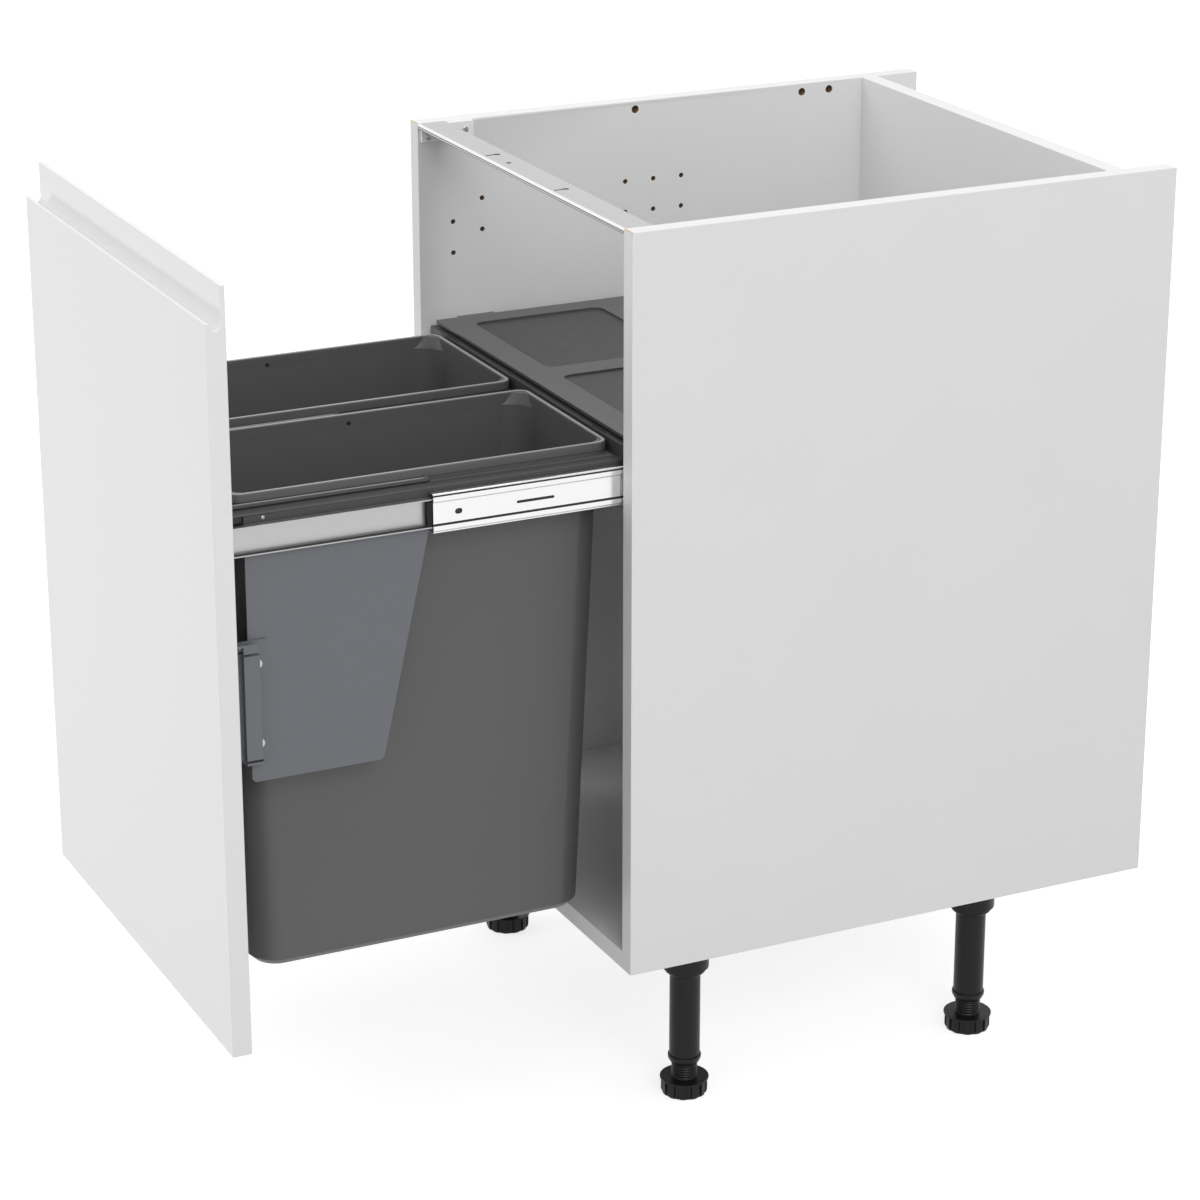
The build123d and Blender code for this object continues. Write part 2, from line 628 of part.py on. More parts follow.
def bail_handle():
    """The right bin's bail, folded forward: two arms, a cross bar, two eyes and their pins."""
    arm_x = bin_width / 2 + BAIL_GAP + BAIL_T
    front = -BIN_LENGTH / 2 - BAIL_GAP - BAIL_T
    arm_z = pivot_z - BAIL_ARM_DROP
    outer = rect(-arm_x, arm_x, front, 0)
    outer = fillet(outer.vertices().group_by(Axis.Y)[0], BAIL_CORNER_R)
    inner = rect(-arm_x + BAIL_T, arm_x - BAIL_T, front + BAIL_T, 0)
    inner = fillet(inner.vertices().group_by(Axis.Y)[0], BAIL_CORNER_R - BAIL_T)
    bail = along_z(outer - inner, arm_z, arm_z + BAIL_H)
    pin_x = neck_width / 2 - BIN_WALL
    eye = Pos(0, pivot_z) * RegularPolygon(BAIL_EYE_D / 2, BAIL_EYE_FLATS)
    for sign in (-1, 1):
        low, high = sorted((sign * (arm_x - BAIL_T), sign * arm_x))
        bail += along_x(eye, low, high)
        low, high = sorted((sign * pin_x, sign * (arm_x - BAIL_T)))
        bail += rod_x(low, high, 0, pivot_z, BAIL_PIN_D)
    return Pos(bin_centre_x, bin_centre_y, 0) * bail


# ---------------------------------------------------------------- cover
def bin_cover():
    """The moulded cover that stays in the cabinet, with two sunk panels."""
    cover = slab(-cover_x, cover_x, cover_front_y, cover_back_y, cover_bottom_z, cover_bottom_z + COVER_T)
    panel_w = cover_x - COVER_EDGE_MARGIN - COVER_CENTRE_GAP / 2
    centre_x = COVER_CENTRE_GAP / 2 + panel_w / 2
    panel_y = cover_front_y + COVER_END_MARGIN + COVER_PANEL_L / 2
    top = cover_bottom_z + COVER_T
    for sign in (-1, 1):
        sunk = rounded(sign * centre_x, panel_y, panel_w, COVER_PANEL_L, COVER_CORNER_R)
        cover -= along_z(sunk, top - COVER_SINK, top)
    return cover


def cover_support():
    """Two right-hand angles on the side panel, their ledges under the cover."""
    ledge = rect(cover_x - SUPPORT_LAP, wall_x, cover_bottom_z - SUPPORT_T, cover_bottom_z)
    leg = rect(wall_x - SUPPORT_T, wall_x, cover_bottom_z - SUPPORT_LEG, cover_bottom_z)
    first_y = cover_front_y + SUPPORT_END_GAP
    last_y = cover_back_y - SUPPORT_END_GAP - SUPPORT_LENGTH
    angles = [along_y(ledge + leg, y, y + SUPPORT_LENGTH) for y in (first_y, last_y)]
    return Compound(children=angles)


# ---------------------------------------------------------------- write every piece
os.makedirs("parts", exist_ok=True)

paired = {
    "side_panel": side_panel(),
    "rail_bracket": rail_bracket(),
    "slide_cabinet_member": cabinet_member(),
    "slide_outer_cage": outer_cage(),
    "slide_mid_member": mid_member(),
    "slide_inner_cage": inner_cage(),
    "slide_drawer_member": drawer_member(),
    "side_plate": side_plate(),
    "door_bracket": door_bracket(),
    "waste_bin": waste_bin(),
    "bail_handle": bail_handle(),
    "cover_support": cover_support(),
}
for name, piece in paired.items():
    save(f"{name}_right", piece)
    save(f"{name}_left", left_of(piece))

save("base_panel", base_panel())
save("back_panel", back_panel())
save("front_rail", front_rail())
save("door_front", door_front())
save("bin_frame", bin_frame())
save("bin_cover", bin_cover())

socket = leg_socket()
tube = leg_tube()
places = leg_places.values()
save("leg_sockets", Compound(children=[Pos(x, y, 0) * socket for x, y in places]))
save("leg_tubes", Compound(children=[Pos(x, y, 0) * tube for x, y in places]))

screw_foot = foot()
for place, (x, y) in leg_places.items():
    save(f"foot_{place}", Pos(x, y, 0) * screw_foot)
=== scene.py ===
import math
import bpy
from mathutils import Matrix, Vector


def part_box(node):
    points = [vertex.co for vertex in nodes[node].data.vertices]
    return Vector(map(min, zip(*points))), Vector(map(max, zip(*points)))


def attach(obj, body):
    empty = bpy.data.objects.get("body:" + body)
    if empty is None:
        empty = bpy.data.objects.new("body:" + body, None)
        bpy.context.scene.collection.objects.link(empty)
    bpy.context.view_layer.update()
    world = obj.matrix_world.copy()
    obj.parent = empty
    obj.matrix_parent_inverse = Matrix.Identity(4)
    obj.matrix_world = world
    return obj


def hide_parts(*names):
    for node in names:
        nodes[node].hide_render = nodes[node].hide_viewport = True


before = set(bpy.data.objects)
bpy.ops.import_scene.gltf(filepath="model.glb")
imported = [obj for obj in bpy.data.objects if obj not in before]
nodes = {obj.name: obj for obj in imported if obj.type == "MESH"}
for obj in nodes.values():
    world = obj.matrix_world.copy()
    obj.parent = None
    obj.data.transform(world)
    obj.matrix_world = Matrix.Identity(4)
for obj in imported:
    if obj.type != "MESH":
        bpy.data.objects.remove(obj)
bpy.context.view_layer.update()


# ---------------------------------------------------------------- studio
# The cabinet stands on a plain white floor under soft light from the front and above.
# The floor and the world look white to the camera and in reflections, and light the object less.
def shader_nodes(material):
    """The nodes, links and principled shader of a material made for this scene."""
    tree = material.node_tree
    return tree.nodes, tree.links, tree.nodes["Principled BSDF"]


def white_when_seen(nodes_in, links, seen, unseen):
    """A number that is `seen` for the camera, mirrors and glass, and `unseen` for soft light."""
    path = nodes_in.new("ShaderNodeLightPath")
    glossy = nodes_in.new("ShaderNodeMath")
    glossy.operation = "MAXIMUM"
    links.new(path.outputs["Is Camera Ray"], glossy.inputs[0])
    links.new(path.outputs["Is Glossy Ray"], glossy.inputs[1])
    clear = nodes_in.new("ShaderNodeMath")
    clear.operation = "MAXIMUM"
    links.new(glossy.outputs[0], clear.inputs[0])
    links.new(path.outputs["Is Transmission Ray"], clear.inputs[1])
    blend = nodes_in.new("ShaderNodeMapRange")
    blend.inputs["To Min"].default_value = unseen
    blend.inputs["To Max"].default_value = seen
    links.new(clear.outputs[0], blend.inputs["Value"])
    return blend.outputs["Result"]


sky_seen = 1.0
sky_light = 0.66
floor_tone = 0.48
floor_glow = 0.74
floor_half = 6.0
floor_gap = 0.0005

world = bpy.data.worlds.new("studio_sky")
world.use_nodes = True
bpy.context.scene.world = world
sky = world.node_tree.nodes["Background"]
sky.inputs["Color"].default_value = (1.0, 1.0, 1.0, 1.0)
sky_strength = white_when_seen(world.node_tree.nodes, world.node_tree.links, sky_seen, sky_light)
world.node_tree.links.new(sky_strength, sky.inputs["Strength"])

bpy.ops.object.select_all(action="DESELECT")
bpy.ops.mesh.primitive_plane_add(size=2 * floor_half, location=(0, 0, -floor_gap))
floor = bpy.context.object
floor.name = "studio_floor"
floor_paint = bpy.data.materials.new("studio_floor_paint")
floor_paint.use_nodes = True
floor_nodes, floor_links, floor_shader = shader_nodes(floor_paint)
floor_shader.inputs["Base Color"].default_value = (floor_tone, floor_tone, floor_tone, 1.0)
floor_shader.inputs["Roughness"].default_value = 0.9
floor_shader.inputs["Specular IOR Level"].default_value = 0.1
floor_shader.inputs["Emission Color"].default_value = (1.0, 1.0, 1.0, 1.0)
glow = white_when_seen(floor_nodes, floor_links, floor_glow, 0.0)
floor_links.new(glow, floor_shader.inputs["Emission Strength"])
floor.data.materials.append(floor_paint)


def softbox(name, place, aim, width, height, watts):
    """A rectangular lamp that points at a spot."""
    lamp = bpy.data.lights.new(name, "AREA")
    lamp.shape = "RECTANGLE"
    lamp.size = width
    lamp.size_y = height
    lamp.energy = watts
    holder = bpy.data.objects.new(name, lamp)
    bpy.context.scene.collection.objects.link(holder)
    holder.location = place
    holder.rotation_euler = (Vector(aim) - Vector(place)).to_track_quat("-Z", "Y").to_euler()


middle_height = (0.0, 0.0, 0.5)
softbox("front_softbox", (-1.2, -4.2, 2.6), middle_height, 2.6, 2.2, 47)
softbox("right_softbox", (4.4, -0.6, 3.2), middle_height, 2.6, 2.2, 72)
softbox("top_softbox", (0.2, 0.2, 4.2), (0.0, 0.1, 0.4), 2.8, 2.8, 36)

# The camera stands where the photograph was taken from and looks down a little.
camera_place = (3.041, -1.4623, 1.6749)
camera_tilt = 20.105
camera_turn = 64.284
camera_data = bpy.data.cameras.new("photo_camera")
camera_data.sensor_width = 36.0
camera_data.lens = 109.45
camera = bpy.data.objects.new("photo_camera", camera_data)
bpy.context.scene.collection.objects.link(camera)
camera.location = camera_place
camera.rotation_euler = (math.radians(90 - camera_tilt), 0.0, math.radians(camera_turn))
bpy.context.scene.camera = camera
bpy.context.scene.view_settings.view_transform = "Standard"


# ---------------------------------------------------------------- carcass boards
# Two sides, a base and a back of 18 mm chipboard faced with white melamine. The sides have
# drilled rows of 5 mm holes and three 8 mm dowel holes each near the top edge. The eased
# mouth of each hole is painted lighter than the melamine as a highlight.
weld_gap = 1e-6
flat_angle = math.radians(0.6)
sharp_angle = 32
drift_band = (0.3, 0.7)
slack = 0.0001
sides = (("left", -1), ("right", 1))


def pick_only(piece):
    """Makes a piece the only selected and active object."""
    bpy.ops.object.select_all(action="DESELECT")
    piece.select_set(True)
    bpy.context.view_layer.objects.active = piece


def join_pieces(pieces):
    """Joins pieces into the first of them."""
    bpy.ops.object.select_all(action="DESELECT")
    for piece in pieces:
        piece.select_set(True)
    bpy.context.view_layer.objects.active = pieces[0]
    if len(pieces) > 1:
        bpy.ops.object.join()
    return pieces[0]


def cut_away(piece, cutter):
    """Cuts the shape of another object out of a piece."""
    pick_only(piece)
    cut = piece.modifiers.new("cut", "BOOLEAN")
    cut.operation = "DIFFERENCE"
    cut.solver = "EXACT"
    cut.object = cutter
    bpy.ops.object.modifier_apply(modifier=cut.name)


def own_copy(source, name):
    """A new object with its own copy of another object's mesh."""
    piece = bpy.data.objects.new(name, source.data.copy())
    bpy.context.scene.collection.objects.link(piece)
    return piece


def from_part(node, name):
    """A piece with its own copy of a CAD node's mesh, its loose triangles joined into faces."""
    piece = own_copy(nodes[node], name)
    piece.data.materials.clear()
    pick_only(piece)
    bpy.ops.mesh.customdata_custom_splitnormals_clear()
    bpy.ops.object.mode_set(mode="EDIT")
    bpy.ops.mesh.select_all(action="SELECT")
    bpy.ops.mesh.remove_doubles(threshold=weld_gap)
    bpy.ops.mesh.dissolve_limited(angle_limit=flat_angle)
    bpy.ops.object.mode_set(mode="OBJECT")
    return piece


def round_edges(piece, radius, steps, wanted, among=None):
    """Rounds the edges of a piece picked by their two ends, among all or some of its edges."""
    pick_only(piece)
    bpy.context.tool_settings.mesh_select_mode = (False, True, False)
    points = piece.data.vertices
    for face in piece.data.polygons:
        face.select = False
    for vertex in points:
        vertex.select = False
    for edge in piece.data.edges:
        start, end = (points[index].co for index in edge.vertices)
        edge.select = (among is None or edge.index in among) and wanted(start, end)
    bpy.ops.object.mode_set(mode="EDIT")
    bpy.ops.mesh.bevel(offset=radius, segments=steps, affect="EDGES")
    bpy.ops.object.mode_set(mode="OBJECT")


def ease_edges(piece, radius, steps=2, angle=sharp_angle, spared=None):
    """Rounds every sharp edge of a piece by a radius, save those spared, and smooths the rest."""
    pick_only(piece)
    if spared is None:
        easing = piece.modifiers.new("eased_edges", "BEVEL")
        easing.width = radius
        easing.segments = steps
        easing.limit_method = "ANGLE"
        easing.angle_limit = math.radians(angle)
        easing.use_clamp_overlap = False
        bpy.ops.object.modifier_apply(modifier=easing.name)
    else:
        bpy.context.tool_settings.mesh_select_mode = (False, True, False)
        bpy.ops.object.mode_set(mode="EDIT")
        bpy.ops.mesh.select_all(action="DESELECT")
        bpy.ops.mesh.edges_select_sharp(sharpness=math.radians(angle))
        bpy.ops.object.mode_set(mode="OBJECT")
        sharp = {edge.index for edge in piece.data.edges if edge.select}
        round_edges(piece, radius, steps, lambda start, end: not spared(start, end), sharp)
    bpy.ops.object.shade_smooth_by_angle(angle=math.radians(angle))
    flatten = piece.modifiers.new("flat_faces", "WEIGHTED_NORMAL")
    flatten.keep_sharp = True
    flatten.weight = 100
    bpy.ops.object.modifier_apply(modifier=flatten.name)


def score(piece, place, direction):
    """Scribes a loop of edges round a piece where a plane crosses it."""
    pick_only(piece)
    bpy.ops.object.mode_set(mode="EDIT")
    bpy.ops.mesh.select_all(action="SELECT")
    bpy.ops.mesh.bisect(plane_co=place, plane_no=direction)
    bpy.ops.object.mode_set(mode="OBJECT")


def paint(piece, *finishes):
    """Adds finishes to a piece. The first covers it and the rest are for colour_faces."""
    for finish in finishes:
        piece.data.materials.append(finish)


def colour_faces(piece, index, wanted, largest=1.0):
    """Gives one of a piece's finishes to the faces picked by centre, normal and area."""
    for face in piece.data.polygons:
        if face.area < largest and wanted(face.center, face.normal):
            face.material_index = index


def fine_bump(material, scale, depth, stretch=(1.0, 1.0, 1.0)):
    """A fine noise relief on a material; stretch draws the grain out along an axis."""
    made, links, shader = shader_nodes(material)
    coords = made.new("ShaderNodeTexCoord")
    mapping = made.new("ShaderNodeMapping")
    mapping.inputs["Scale"].default_value = stretch
    links.new(coords.outputs["Object"], mapping.inputs["Vector"])
    grain = made.new("ShaderNodeTexNoise")
    grain.inputs["Scale"].default_value = scale
    grain.inputs["Detail"].default_value = 3.0
    links.new(mapping.outputs["Vector"], grain.inputs["Vector"])
    bump = made.new("ShaderNodeBump")
    bump.inputs["Strength"].default_value = 1.0
    bump.inputs["Distance"].default_value = depth
    links.new(grain.outputs["Fac"], bump.inputs["Height"])
    links.new(bump.outputs["Normal"], shader.inputs["Normal"])
    return mapping


def drift(material, scale, detail, mapping=None):
    """A slow noise over a material's surface, drawn out as the mapping says if one is given."""
    made, links, _ = shader_nodes(material)
    noise = made.new("ShaderNodeTexNoise")
    noise.inputs["Scale"].default_value = scale
    noise.inputs["Detail"].default_value = detail
    if mapping is None:
        coords = made.new("ShaderNodeTexCoord")
        links.new(coords.outputs["Object"], noise.inputs["Vector"])
    else:
        links.new(mapping.outputs["Vector"], noise.inputs["Vector"])
    return noise.outputs["Fac"]


def vary(material, socket, low, high, scale, mapping=None):
    """Lets a shader's number drift between two values over the surface."""
    made, links, shader = shader_nodes(material)
    spread = made.new("ShaderNodeMapRange")
    spread.inputs["From Min"].default_value = drift_band[0]
    spread.inputs["From Max"].default_value = drift_band[1]
    spread.inputs["To Min"].default_value = low
    spread.inputs["To Max"].default_value = high
    links.new(drift(material, scale, 4.0, mapping), spread.inputs["Value"])
    links.new(spread.outputs["Result"], shader.inputs[socket])


def tint(material, dark, light, scale):
    """Lets a shader's colour drift between two close tones."""
    made, links, shader = shader_nodes(material)
    ramp = made.new("ShaderNodeValToRGB")
    for element, position, colour in zip(ramp.color_ramp.elements, drift_band, (dark, light)):
        element.position = position
        element.color = (*colour, 1.0)
    links.new(drift(material, scale, 3.0), ramp.inputs["Fac"])
    links.new(ramp.outputs["Color"], shader.inputs["Base Color"])


def new_finish(name, colour, roughness, metallic=0.0):
    """A principled material with its constant values on the shader's own sockets."""
    material = bpy.data.materials.new(name)
    material.use_nodes = True
    shader = shader_nodes(material)[2]
    shader.inputs["Base Color"].default_value = (*colour, 1.0)
    shader.inputs["Roughness"].default_value = roughness
    shader.inputs["Metallic"].default_value = metallic
    return material


melamine = new_finish("white_melamine", (0.80, 0.80, 0.80), 0.42)
fine_bump(melamine, 1400.0, 0.00002)
vary(melamine, "Roughness", 0.38, 0.46, 40.0)
tint(melamine, (0.795, 0.795, 0.797), (0.805, 0.805, 0.805), 9.0)

raw_board = new_finish("raw_chipboard", (0.30, 0.19, 0.10), 0.9)
fine_bump(raw_board, 900.0, 0.0002)
tint(raw_board, (0.20, 0.12, 0.06), (0.42, 0.28, 0.16), 700.0)

hole_rim_highlight = new_finish("hole_rim_highlight", (0.93, 0.93, 0.92), 0.4)
fine_bump(hole_rim_highlight, 1400.0, 0.00002)

band_end = new_finish("edge_band_end", (0.62, 0.42, 0.20), 0.7)
fine_bump(band_end, 900.0, 0.0001)

dowel_hole = 0.008
dowel_depth = 0.012
dowel_z = 0.8693
dowel_rows = (0.15375, 0.34635, 0.37845)
board_edge = 0.0004
band_thickness = 0.0012
hole_mouth = 0.0006
hole_bottom = 0.0165
undrilled_edge = 0.02
undrilled_top = 0.004
rim_facet = 2e-6


def drilled(point, low, high):
    """Whether a point is in the part of a side between two corners that has holes."""
    return (
        low.y + undrilled_edge < point.y < high.y - undrilled_edge
        and low.z + undrilled_edge < point.z < high.z - undrilled_top
    )


def drill_dowel_holes(panel, inner_x):
    """Cuts the three dowel holes into a side panel's inner face."""
    cutters = []
    for y in dowel_rows:
        bpy.ops.object.select_all(action="DESELECT")
        bpy.ops.mesh.primitive_cylinder_add(
            vertices=32,
            radius=dowel_hole / 2,
            depth=2 * dowel_depth,
            location=(inner_x, y, dowel_z),
            rotation=(0, math.pi / 2, 0),
        )
        cutters.append(bpy.context.object)
    drill = join_pieces(cutters)
    cut_away(panel, drill)
    bpy.data.objects.remove(drill)


for side, turn in sides:
    node = f"side_panel_{side}"
    low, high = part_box(node)
    inner_x = high.x if turn < 0 else low.x
    panel = from_part(node, f"faced_side_{side}")
    drill_dowel_holes(panel, inner_x)
    ease_edges(panel, board_edge)
    score(panel, (0, low.y + band_thickness, 0), (0, 1, 0))
    paint(panel, melamine, raw_board, band_end, hole_rim_highlight)
    colour_faces(panel, 1, lambda centre, normal: (
        hole_mouth < (centre.x - inner_x) * turn < hole_bottom and drilled(centre, low, high)
    ))
    colour_faces(panel, 2, lambda centre, normal: centre.y < low.y + band_thickness and normal.z > 0.3)
    # The eased mouth of each hole is painted lighter than the melamine as a highlight.
    colour_faces(panel, 3, lambda centre, normal: (
        -slack < (centre.x - inner_x) * turn < board_edge
        and 0.15 < abs(normal.x) < 0.985 and drilled(centre, low, high)
    ), rim_facet)
    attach(panel, "cabinet")
    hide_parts(node)

for node, name in (("base_panel", "faced_base"), ("back_panel", "faced_back")):
    board = from_part(node, name)
    ease_edges(board, board_edge)
    paint(board, melamine)
    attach(board, "cabinet")
    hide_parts(node)


# ---------------------------------------------------------------- front rail
# A folded channel of light galvanised steel between the sides, with keyhole slots for the
# worktop screws, their walls painted black as shade. Its front edge is rolled; the roll is
# painted light as a highlight and the flat front face below it dark as shade, save a thin band.
galvanised = new_finish("galvanised_sheet", (0.55, 0.55, 0.56), 0.38, 1.0)
rail_grain = fine_bump(galvanised, 900.0, 0.000006, stretch=(0.04, 1.0, 1.0))
vary(galvanised, "Roughness", 0.32, 0.44, 60.0, rail_grain)

slot_shade = new_finish("slot_shadow", (0.030, 0.030, 0.031), 0.6)
fine_bump(slot_shade, 900.0, 0.00001)
flange_shade = new_finish("painted_shade_flange", (0.16, 0.16, 0.165), 0.5, 0.8)
fine_bump(flange_shade, 900.0, 0.00001)
rolled_edge_highlight = new_finish("painted_highlight_edge", (0.92, 0.92, 0.92), 0.25, 1.0)
fine_bump(rolled_edge_highlight, 900.0, 0.000004)

rail_low, rail_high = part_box("front_rail")
rail_top_sheet = 0.003
rail_end = 0.03
rail_fold = 0.006
roll_width = 0.0025
bright_line = (rail_low.z + 0.0008, rail_low.z + 0.0019)

rail = from_part("front_rail", "folded_rail")
paint(rail, galvanised, slot_shade, flange_shade, rolled_edge_highlight)
colour_faces(rail, 1, lambda centre, normal: (
    abs(normal.z) < 0.5 and centre.z > rail_high.z - rail_top_sheet
    and abs(centre.x) < rail_high.x - rail_end
    and rail_low.y + rail_fold < centre.y < rail_high.y - rail_fold
))
for level in bright_line:
    score(rail, (0, 0, level), (0, 0, 1))
# The flat front face below the roll is painted dark as shade, save a thin band between the bright_line
# levels left in the plain galvanised finish.
colour_faces(rail, 2, lambda centre, normal: (
    normal.y < -0.98 and centre.y < rail_low.y + 0.0002
    and not bright_line[0] < centre.z < bright_line[1]
))
# The rolled front edge is painted light as a highlight.
colour_faces(rail, 3, lambda centre, normal: (
    -0.98 < normal.y < -0.15 and normal.z > 0.1 and centre.y < rail_low.y + roll_width
))
ease_edges(rail, 0.0003)
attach(rail, "cabinet")
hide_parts("front_rail")


# ---------------------------------------------------------------- rail brackets
# Small light grey mouldings that carry the rail's ends. Each is held to its side by two
# small screws of bright zinc with a domed head and a cross recess.
bracket_moulding = new_finish("light_grey_moulding", (0.88, 0.88, 0.88), 0.40)
fine_bump(bracket_moulding, 1500.0, 0.00001)
vary(bracket_moulding, "Roughness", 0.40, 0.50, 200.0)
screw_zinc = new_finish("screw_zinc", (0.50, 0.50, 0.51), 0.28, 1.0)
fine_bump(screw_zinc, 2500.0, 0.000004)
vary(screw_zinc, "Roughness", 0.22, 0.34, 400.0)

dome_share = 0.7
cross_share = 0.24
bracket_face_x = 0.228
front_screw_in = 0.0071
front_screw_up = 0.0055
rear_screw_in = 0.009
rear_screw_up = 0.0095


def pick_faces(piece, wanted):
    """Selects the faces of a piece picked by their centre and normal, ready for edit mode."""
    pick_only(piece)
    bpy.context.tool_settings.mesh_select_mode = (False, False, True)
    for vertex in piece.data.vertices:
        vertex.select = False
    for edge in piece.data.edges:
        edge.select = False
    for face in piece.data.polygons:
        face.select = wanted(face.center, face.normal)


def add_block(size, place):
    """A rectangular block with its middle at a place."""
    bpy.ops.object.select_all(action="DESELECT")
    bpy.ops.mesh.primitive_cube_add(size=1.0, location=place)
    bpy.ops.transform.resize(value=size, center_override=place)
    bpy.ops.object.transform_apply(location=True, rotation=True, scale=True)
    return bpy.context.object


def screw_head(name, radius, height, recess=True):
    """A domed screw head on the origin, its top along Z, with a cross recess or plain."""
    bpy.ops.object.select_all(action="DESELECT")
    bpy.ops.mesh.primitive_cylinder_add(
        vertices=28,
        radius=radius,
        depth=height,
        location=(0, 0, height / 2),
    )
    head = bpy.context.object
    head.name = name
    pick_faces(head, lambda centre, normal: normal.z > 0.5)
    bpy.ops.object.mode_set(mode="EDIT")
    bpy.ops.mesh.bevel(offset=height * dome_share, segments=4, affect="EDGES")
    bpy.ops.object.mode_set(mode="OBJECT")
    bpy.ops.object.transform_apply(location=True, rotation=True, scale=True)
    if recess:
        bar = add_block((radius, radius * cross_share, height), (0, 0, height))
        for turned in (0.0, math.pi / 2):
            bar.data.transform(Matrix.Rotation(turned, 4, "Z"))
            cut_away(head, bar)
        bpy.data.objects.remove(bar)
    pick_only(head)
    bpy.ops.object.shade_smooth_by_angle(angle=math.radians(40))
    return head


def set_heads(name, head, places, outward, finish):
    """Copies of a head set flat on a surface at each place, joined into one piece."""
    turn = Vector((0, 0, 1)).rotation_difference(Vector(outward)).to_matrix().to_4x4()
    copies = []
    for number, place in enumerate(places):
        copy = own_copy(head, f"{name}_{number}")
        copy.data.transform(Matrix.Translation(place) @ turn)
        copies.append(copy)
    group = join_pieces(copies)
    group.name = name
    group.data.materials.clear()
    paint(group, finish)
    return group


bracket_screw = screw_head("bracket_screw", radius=0.0031, height=0.0012)
for side, turn in sides:
    node = f"rail_bracket_{side}"
    low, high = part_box(node)
    holder = from_part(node, f"moulded_bracket_{side}")
    ease_edges(holder, 0.0006)
    paint(holder, bracket_moulding)
    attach(holder, "cabinet")
    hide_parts(node)
    face_x = turn * bracket_face_x
    places = [
        (face_x, low.y + front_screw_in, low.z + front_screw_up),
        (face_x, high.y - rear_screw_in, low.z + rear_screw_up),
    ]
    screws = set_heads(f"bracket_screws_{side}", bracket_screw, places, (-turn, 0, 0), screw_zinc)
    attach(screws, "cabinet")
bpy.data.objects.remove(bracket_screw)


# ---------------------------------------------------------------- legs
# Black moulded legs: a stepped socket under the base, a tube with a tapered collar, and a
# screw foot with a coarse thread, a flange and a ribbed skirt with notches at the floor.
leg_black = new_finish("black_moulding", (0.007, 0.007, 0.008), 0.36)
shader_nodes(leg_black)[2].inputs["Specular IOR Level"].default_value = 0.24
fine_bump(leg_black, 1200.0, 0.00001)
vary(leg_black, "Roughness", 0.32, 0.40, 120.0)


def narrow_ring(piece, wanted, factor, centre, lift=0.0):
    """Draws the picked vertices in towards an upright axis and lifts them."""
    pick_only(piece)
    bpy.context.tool_settings.mesh_select_mode = (True, False, False)
    for face in piece.data.polygons:
        face.select = False
    for edge in piece.data.edges:
        edge.select = False
    for vertex in piece.data.vertices:
        vertex.select = wanted(vertex.co)
    bpy.ops.object.mode_set(mode="EDIT")
    bpy.ops.transform.resize(value=(factor, factor, 1.0), center_override=centre)
    bpy.ops.transform.translate(value=(0, 0, lift))
    bpy.ops.object.mode_set(mode="OBJECT")


def off_axis(point, centre):
    """The distance of a point from an upright axis."""
    return math.hypot(point.x - centre[0], point.y - centre[1])


feet = {}
for place in ("front_left", "front_right", "rear_left", "rear_right"):
    low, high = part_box(f"foot_{place}")
    feet[place] = ((low.x + high.x) / 2, (low.y + high.y) / 2, 0.0)

mouth_z = 0.129
mouth_taper = 0.0022
mouth_walls = (0.017, 0.024)
mouth_draw = 0.88
level_slack = 0.0002
sockets = from_part("leg_sockets", "moulded_sockets")
score(sockets, (0, 0, mouth_z + mouth_taper), (0, 0, 1))
for centre in feet.values():
    narrow_ring(sockets, lambda co, centre=centre: (
        abs(co.z - mouth_z) < level_slack and mouth_walls[0] < off_axis(co, centre) < mouth_walls[1]
    ), mouth_draw, centre)
ease_edges(sockets, 0.0004)
paint(sockets, leg_black)
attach(sockets, "cabinet")
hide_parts("leg_sockets")

collar_low_z = 0.033
collar_taper = 0.0045
collar_walls = (0.0145, 0.018)
collar_draw = 0.86
tubes = from_part("leg_tubes", "moulded_tubes")
score(tubes, (0, 0, collar_low_z + collar_taper), (0, 0, 1))
for centre in feet.values():
    narrow_ring(tubes, lambda co, centre=centre: (
        abs(co.z - collar_low_z) < level_slack
        and collar_walls[0] < off_axis(co, centre) < collar_walls[1]
    ), collar_draw, centre)
ease_edges(tubes, 0.0004)
paint(tubes, leg_black)
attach(tubes, "cabinet")
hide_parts("leg_tubes")

flange_top_z = 0.017
thread_start = 0.0008
thread_pitch = 0.0027
thread_turns = 14
root_draw = 0.93
stem_reach = 0.0135
skirt_taper = 0.0032
skirt_inside = 0.0215
skirt_draw = 0.955
tip_draw = 0.97
tip_drop = 0.0004
first_centre = feet["front_left"]
first_foot = from_part("foot_front_left", "screw_foot_front_left")
root_levels = []
for lap in range(thread_turns):
    crest = flange_top_z + thread_start + lap * thread_pitch
    root_levels.append(crest + thread_pitch / 2)
    score(first_foot, (0, 0, crest), (0, 0, 1))
    score(first_foot, (0, 0, crest + thread_pitch / 2), (0, 0, 1))
narrow_ring(first_foot, lambda co: (
    any(abs(co.z - level) < slack for level in root_levels)
    and off_axis(co, first_centre) < stem_reach
), root_draw, first_centre)
score(first_foot, (0, 0, skirt_taper), (0, 0, 1))
narrow_ring(first_foot, lambda co: (
    co.z < slack and off_axis(co, first_centre) > skirt_inside
), skirt_draw, first_centre)
foot_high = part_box("foot_front_left")[1]
narrow_ring(
    first_foot, lambda co: co.z > foot_high.z - slack, tip_draw, first_centre, -tip_drop,
)
ease_edges(first_foot, 0.0003, angle=40)
paint(first_foot, leg_black)
for place, centre in feet.items():
    if place == "front_left":
        foot = first_foot
    else:
        foot = own_copy(first_foot, f"screw_foot_{place}")
        foot.data.transform(Matrix.Translation(Vector(centre) - Vector(first_centre)))
    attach(foot, f"foot_{place}")
    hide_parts(f"foot_{place}")
